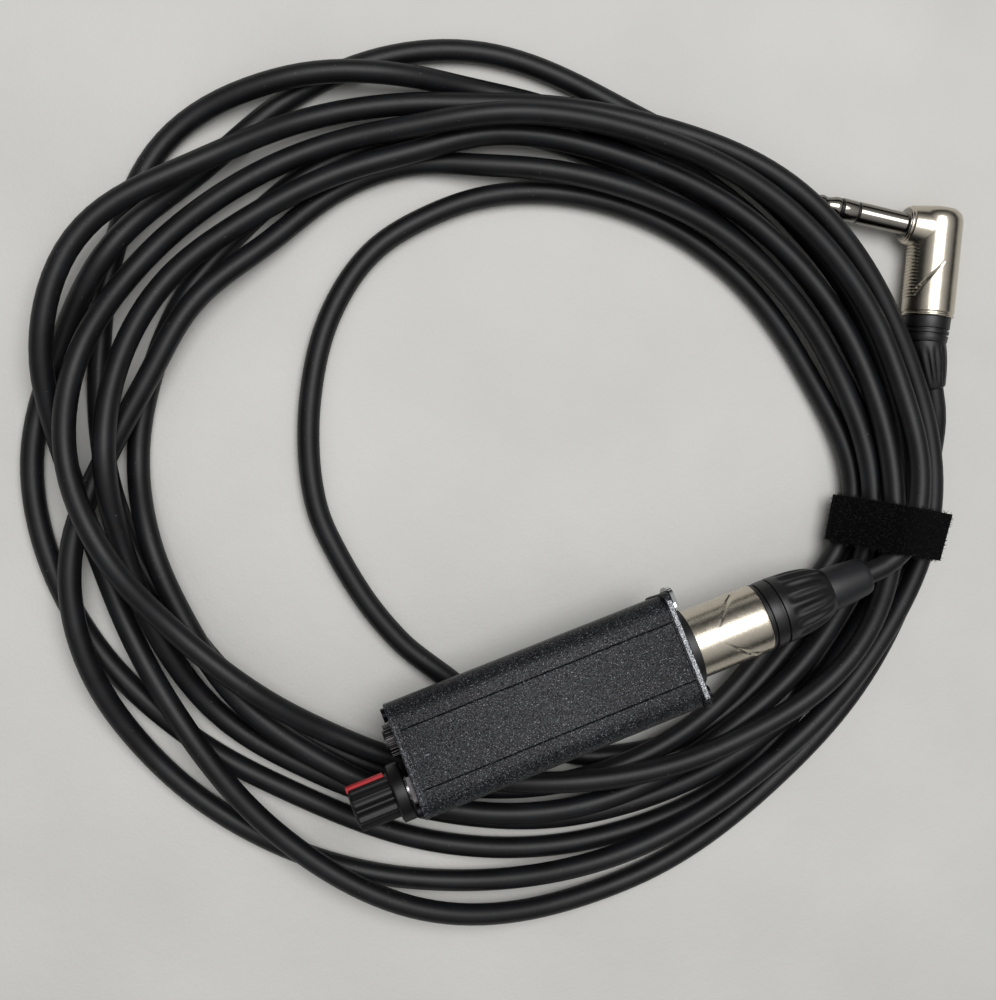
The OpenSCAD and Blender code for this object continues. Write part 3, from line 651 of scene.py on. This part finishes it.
parts = {
    "shaft_sleeve": ([(NECK - 4, 1.5, 0), (NECK - 4, 3.0, 0), (NECK - 1.8, 3.0, 0),
                      (NECK - 1.8, 4.7, 0.3), (NECK, 4.7, 0.35), (NECK, SHAFT_R, 0.1),
                      (SLEEVE_END + 0.2, SHAFT_R, 0.2), (SLEEVE_END + 0.2, 1.5, 0)],
                     bright_nickel, "trs_sleeve", "nickel"),
    "shaft_band_low": (collar(SLEEVE_END + 0.25, RING_START - 0.25, 1.2, BAND_R, 0),
                       ring_black, "trs_band_2", "moulded_black"),
    "shaft_ring": (collar(RING_START - 0.2, RING_END + 0.2, 1.4, SHAFT_R, 0.2),
                   bright_nickel, "trs_ring", "nickel"),
    "shaft_band_high": (collar(RING_END + 0.25, TIP_START - 0.1, 1.2, BAND_R, 0),
                        ring_black, "trs_band_1", "moulded_black"),
}
for name, (profile, mat, node, slot) in parts.items():
    make(name, turned(profile, loop=True), tip_place, mat, [node])
tip = turned(shifted([(0.05, 0, 0), (0.05, 3.1, 0.2), (1.2, 3.1, 0.4), (3.9, 2.25, 0.9),
                      (5.6, 2.95, 0.9), (9.0, 1.1, 0.5), (9.4, 0, 0)], TIP_START))
make("shaft_tip", tip, tip_place, bright_nickel, ["trs_tip"])

# %% [markdown]
# ## The right-angle housing
# The casting is a round arm with a rounded end and a short boss for the shaft. Two turned
# solids that pass through each other leave the same mitre line as the casting has, which
# saves a boolean. The arm has one slanting crease, as the barrel has.

# %% Housing
ELBOW_R, HOUSING_L = 7.6, 25.5
COUPLING = [(-1.3, ELBOW_R, 0.2), (-1.1, ELBOW_R - 0.35, 0), (-0.8, ELBOW_R - 0.35, 0),
            (-0.6, ELBOW_R, 0.2), (0, ELBOW_R - 0.1, 0.25), (0, 5.3, 0), (-6, 5.3, 0), (-6, 0, 0)]
arm_line = [(RING_MM * i, ELBOW_R, 0) for i in range(-4, 96)]
arm = turned([(-6.6, 0, 0), (-6.6, ELBOW_R, 3.6)] + arm_line + shifted(COUPLING, HOUSING_L),
             steps=190)
crease(arm, (19.0, 20.4), (9.8, 11.7), 1.5, 0.4)
bmesh.ops.transform(arm, matrix=Matrix.Rotation(math.radians(ARM_DIR), 4, "Z"), verts=arm.verts)
boss = turned([(1, 0, 0), (1, 7.35, 0), (NECK - 1.3, 5.6, 0.3), (NECK - 1.1, 5.2, 0),
               (NECK - 0.4, 5.2, 0.3), (NECK - 0.4, 4.72, 0), (NECK - 1.9, 4.72, 0),
               (NECK - 1.9, 0, 0)], steps=96)
bmesh.ops.transform(boss, matrix=Matrix.Rotation(math.radians(TIP_DIR), 4, "Z"), verts=boss.verts)
join(arm, boss)
make("angle_housing", arm, Matrix.Translation(COIL_AT / MM + ELBOW), smooth_nickel,
     ["elbow_housing"])

# %% [markdown]
# ## Grip ribs
# The housing's inner side has a row of fine ribs for the finger. Each is a small round
# profile spun through a part turn about an axis set off the arm's own, so it sinks into the
# arm at both its ends and fades out without an edge.

# %% Ribs
RIBS, RIB_FIRST, RIB_PITCH, RIB_R, RIB_SUNK = 17, 4.4, 0.98, 0.42, 0.1
RIB_AXIS, RIB_ARC = (0, -1.5, 0), math.radians(104)
ribs = bmesh.new()
for i in range(RIBS):
    ring = bmesh.ops.create_circle(ribs, segments=16, radius=RIB_R, cap_ends=True)["verts"]
    bmesh.ops.translate(ribs, vec=(RIB_FIRST + i * RIB_PITCH, RIB_SUNK - ELBOW_R, 0), verts=ring)
    bmesh.ops.rotate(ribs, cent=RIB_AXIS, matrix=Matrix.Rotation(-RIB_ARC / 2, 3, "X"), verts=ring)
    faces = [f for f in ribs.faces if all(v in ring for v in f.verts)]
    bmesh.ops.spin(ribs, geom=faces, cent=RIB_AXIS, axis=(1, 0, 0), dvec=(0, 0, 0), angle=RIB_ARC,
                   steps=16)
bmesh.ops.recalc_face_normals(ribs, faces=ribs.faces)
make("grip_ribs", ribs, laid(ELBOW, ARM_DIR), smooth_nickel)

# %% [markdown]
# ## The elbow's bushing and boot
# The same two pieces as on the straight plug, a size smaller and moulded in one black. The
# boot is a cone with fourteen fine flutes, bent away from the arm as the cable pulls it.

# %% Elbow bushing and boot
SEAL_BORE, CONE_STEPS, CONE_FLUTES = 4.1, 12, 14
bush = turned(shifted([(0, SEAL_BORE, 0), (0, 6.9, 0.2), (3.4, 6.75, 0.1), (3.5, 6.2, 0),
                       (3.9, 6.2, 0), (4.0, 6.7, 0.1), (4.9, 6.65, 0.1), (5.0, 6.1, 0),
                       (5.4, 6.1, 0), (5.5, 6.6, 0.1)], HOUSING_L)
              + [(ARM_L, 6.3, 0.3), (ARM_L, SEAL_BORE, 0)], steps=96, loop=True)
make("elbow_seal", bush, laid(ELBOW, ARM_DIR), nylon, ["elbow_bushing"])
cone = [(-3.5, 3.95, 0), (-1.2, 3.95, 0), (-1.2, 5.9, 0.3), (0.4, 5.95, 0)]
cone += [(1.4 + i, 5.95 - 2.1 * (i / CONE_STEPS) ** 1.6, 0) for i in range(CONE_STEPS)]
cone += [(BOOT_L - 0.2, 3.75, 0.3), (BOOT_L, 3.2, 0), (BOOT_L - 6, 3.1, 0), (-3.5, 3.1, 0)]
elbow_cone = turned(cone, steps=120, loop=True)
flutes(elbow_cone, CONE_FLUTES, 1.5, BOOT_L - 1.5, 0.35, 0.6)
make("elbow_cone", elbow_cone, laid(BOOT_BASE, BEND_DIR), nylon, ["elbow_boot"])

# %% [markdown]
# ## The strap
# The tape is pulled tight round the bundle, so its path is the tight outline of the strands
# that it holds. At each angle, the strand that reaches furthest out carries the tape. The
# free end lies over the top and sticks out past the bundle. The outline is extruded to the
# tape's width and given its thickness. Cloth simulation would add little here, because the
# tape is stiff and under tension.

# %% Strap band
TIE_W, TIE_T, TIE_CLEAR = 13.5, 1.3, 0.35
BUNDLE_R, TIE_SKEW, TIE_SHIFT = 112, math.radians(-5.5), -0.7
TAPE_STEPS, FLAP_CUT = 12, 0.08
TIE_PLACE = laid(Vector((0, 0, 0)), TIE_DIR) @ Matrix.Translation((BUNDLE_R, 0, 0))
TIE_PLACE = (TIE_PLACE @ Matrix.Rotation(TIE_SKEW, 4, "Z")
             @ Matrix.Translation((-BUNDLE_R, TIE_SHIFT, 0)))
strands = []
for a, b in zip(route, route[1:]):
    for t in range(8):
        p = TIE_PLACE.inverted() @ (a.lerp(b, t / 8) / MM)
        if p.x > 0 and abs(p.y) < TIE_W / 2 + 1.5:
            strands.append(Vector((p.x, p.z)))


def hull_point(degrees, grow):
    out = Vector((math.cos(math.radians(degrees)), math.sin(math.radians(degrees))))
    reach = max(strands, key=lambda s: s.dot(out)) + out * (CABLE_D / 2 + TIE_CLEAR + grow)
    return (reach.x, reach.y)


LOOP = [hull_point(a, TIE_T / 2) for a in range(0, 360, 6)]
FLAP = [hull_point(a, TIE_T * 1.5 + 0.1) for a in range(186, 78, -6)]
FLAP += [(124.5, FLAP[-1][1] - 0.5), (127.6, FLAP[-1][1] - 1.0)]


def tape(points, loop):
    bm = bmesh.new()
    verts = [bm.verts.new((r, -TIE_W / 2, z)) for r, z in points]
    for a, b in zip(verts, verts[1:] + (verts[:1] if loop else [])):
        bm.edges.new((a, b))
    for step in range(TAPE_STEPS):
        edge_y = step * TIE_W / TAPE_STEPS - TIE_W / 2
        edges = [e for e in bm.edges if all(abs(v.co.y - edge_y) < 1e-4 for v in e.verts)]
        out = bmesh.ops.extrude_edge_only(bm, edges=edges)["geom"]
        bmesh.ops.translate(bm, vec=(0, TIE_W / TAPE_STEPS, 0),
                            verts=[g for g in out if isinstance(g, bmesh.types.BMVert)])
    bmesh.ops.remove_doubles(bm, verts=bm.verts, dist=0.02)
    bmesh.ops.recalc_face_normals(bm, faces=bm.faces)
    for v in bm.verts:
        v.co.xz += Vector((v.normal.x, v.normal.z)) * -TIE_T / 2
    bmesh.ops.solidify(bm, geom=bm.faces[:], thickness=TIE_T)
    bmesh.ops.recalc_face_normals(bm, faces=bm.faces)
    return bm


band, flap = tape(LOOP, True), tape(FLAP, False)
for v in flap.verts:
    if v.co.x > 124:
        v.co.x -= (TIE_W / 2 - v.co.y) * FLAP_CUT

# %% [markdown]
# ## The strap's pile
# Thousands of short loops stand on the tape and break up its outline. Each is drawn as a
# three-sided cone without caps, leaning at random, which costs six triangles. They are made
# in tufts that are joined at the end, because an operator slows down as its mesh grows. The
# mesh gives its faces in an order that changes from run to run, so the loops land in other
# places each time.

# %% Strap pile
TUFTS, FIBRES = 16, 260
random.seed(4)
faces = [f for bm in (band, flap) for f in bm.faces if f.normal.z > -0.2 and len(f.verts) == 4]
areas = [f.calc_area() for f in faces]
fibres = bmesh.new()
for _ in range(TUFTS):
    tuft = bmesh.new()
    for face in random.choices(faces, weights=areas, k=FIBRES):
        a, b, _, d = [v.co for v in face.verts]
        root = a + (b - a) * random.random() + (d - a) * random.random()
        lean = (face.normal + Vector([random.uniform(-0.9, 0.9) for _ in range(3)])).normalized()
        length = random.uniform(0.5, 1.4)
        bmesh.ops.create_cone(tuft, segments=3, radius1=0.09, radius2=0.03, depth=length,
                              matrix=Matrix.Translation(root + lean * length / 2)
                              @ lean.to_track_quat("Z", "Y").to_matrix().to_4x4())
    join(fibres, tuft)
make("strap_band", band, TIE_PLACE, pile, ["tie_band"], sharp=60)
make("strap_end", flap, TIE_PLACE, pile, sharp=60)
make("strap_pile", fibres, TIE_PLACE, fibre, sharp=60)

# %% [markdown]
# ## The metal and moulded parts that the CAD already has right
# The plates, nuts, screws, latch, clip and socket have their true shape in the frame, so
# they keep it, and so do the parts inside that only show when the plug is out. They only get
# a finish here. Assigning to the material slot leaves their meshes alone.

# %% Finishes for the frame's own parts
KEPT = {
    powder_black: ["knob_end_plate", "socket_end_plate"],
    nylon: ["socket_shell", "socket_insert", "plug_insert", "jack_socket", "latch_bracket"],
    steel: ["clip_screw_1", "clip_screw_2", "pot_body", "pot_shaft", "latch_pin", "plug_chuck"],
    chrome: ["latch_lever"],
    dark_chrome: ["jack_nut", "pot_nut"],
    black_steel: ["belt_clip", "knob_screw_1", "knob_screw_2", "socket_screw_1", "socket_screw_2"],
    gold: ["contact_1", "contact_2", "contact_3"],
    bright_nickel: ["pin_1", "pin_2", "pin_3", "trs_rod"],
    pointer_red: ["knob_pointer"],
    board: ["circuit_board"],
}
for mat, names in KEPT.items():
    for name in names:
        obj = nodes[name]
        if not obj.material_slots:
            obj.data.materials.append(mat)
        for place in obj.material_slots:
            place.material = mat
print("finished", sum(len(v) for v in KEPT.values()), "kept parts")

# %% [markdown]
# ## The floor
# The lead lies on a pale painted board with a slight orange-peel texture: a broad swell and
# a finer one on it. It is far larger than the object, so its edge stays out of the picture.

# %% Floor
FLOOR_HALF = 3
floor_mesh = bpy.data.meshes.new("floor")
bm = bmesh.new()
bmesh.ops.create_grid(bm, x_segments=1, y_segments=1, size=FLOOR_HALF)
bm.to_mesh(floor_mesh)
bm.free()
floor = bpy.data.objects.new("floor", floor_mesh)
bpy.context.collection.objects.link(floor)
paint = finish("pale_board_paint", "#d0cfcb", 0.7)
wide = ramp(paint, noise(paint, 60, 3), 0.3, 0.7)
link(paint, blend_colours(paint, wide, linear("#cbcac6"), linear("#d3d2ce")), "Base Color")
peel = bump(paint, noise(paint, 4.5, 2), 0.35, 0.5)
bump(paint, noise(paint, 0.9, 2), 0.4, 0.25, peel)
floor_mesh.materials.append(paint)

# %% [markdown]
# ## The light
# One round soft box hangs overhead, a little behind the object. The world is bright overhead
# and dark towards the sides, which gives the round metal parts their bands. Low down stands
# a pale backdrop that the camera and mirrors see but that casts no light, so that a view
# from the side has a pale ground too.

# %% Light
LAMP_AT, LAMP_SIZE, LAMP_WATTS = Vector((0.15, 0.24, 1.15)), 0.8, 9.2
world = bpy.data.worlds.new("world")
world.use_nodes = True
sky = add(world, "ShaderNodeTexCoord").outputs["Generated"]
height = add(world, "ShaderNodeSeparateXYZ", {"Vector": sky}).outputs["Z"]
overhead = ramp(world, height, 0.4, 0.95, 0.015, 0.7)
backdrop = ramp(world, height, 0.2, 0.12, 0, 0.5)
path = add(world, "ShaderNodeLightPath")
seen = path.outputs["Is Camera Ray"]
for kind in ("Is Glossy Ray", "Is Transmission Ray"):
    sockets = {0: seen, 1: path.outputs[kind]}
    seen = add(world, "ShaderNodeMath", sockets, operation="MAXIMUM").outputs[0]
seen = add(world, "ShaderNodeMath", {0: backdrop, 1: seen}, operation="MULTIPLY").outputs[0]
strength = add(world, "ShaderNodeMath", {0: overhead, 1: seen}, operation="MAXIMUM").outputs[0]
background = world.node_tree.nodes["Background"]
background.inputs["Color"].default_value = (1, 1, 1, 1)
world.node_tree.links.new(strength, background.inputs["Strength"])
bpy.context.scene.world = world

lamp = bpy.data.lights.new("key", "AREA")
lamp.shape = "DISK"
lamp.size = LAMP_SIZE
lamp.energy = LAMP_WATTS
key = bpy.data.objects.new("key", lamp)
key.location = LAMP_AT
key.rotation_euler = (-LAMP_AT).to_track_quat("-Z", "Y").to_euler()
bpy.context.collection.objects.link(key)
bpy.context.scene.view_settings.view_transform = "Standard"
print("lamp of", LAMP_WATTS, "W at", list(LAMP_AT))
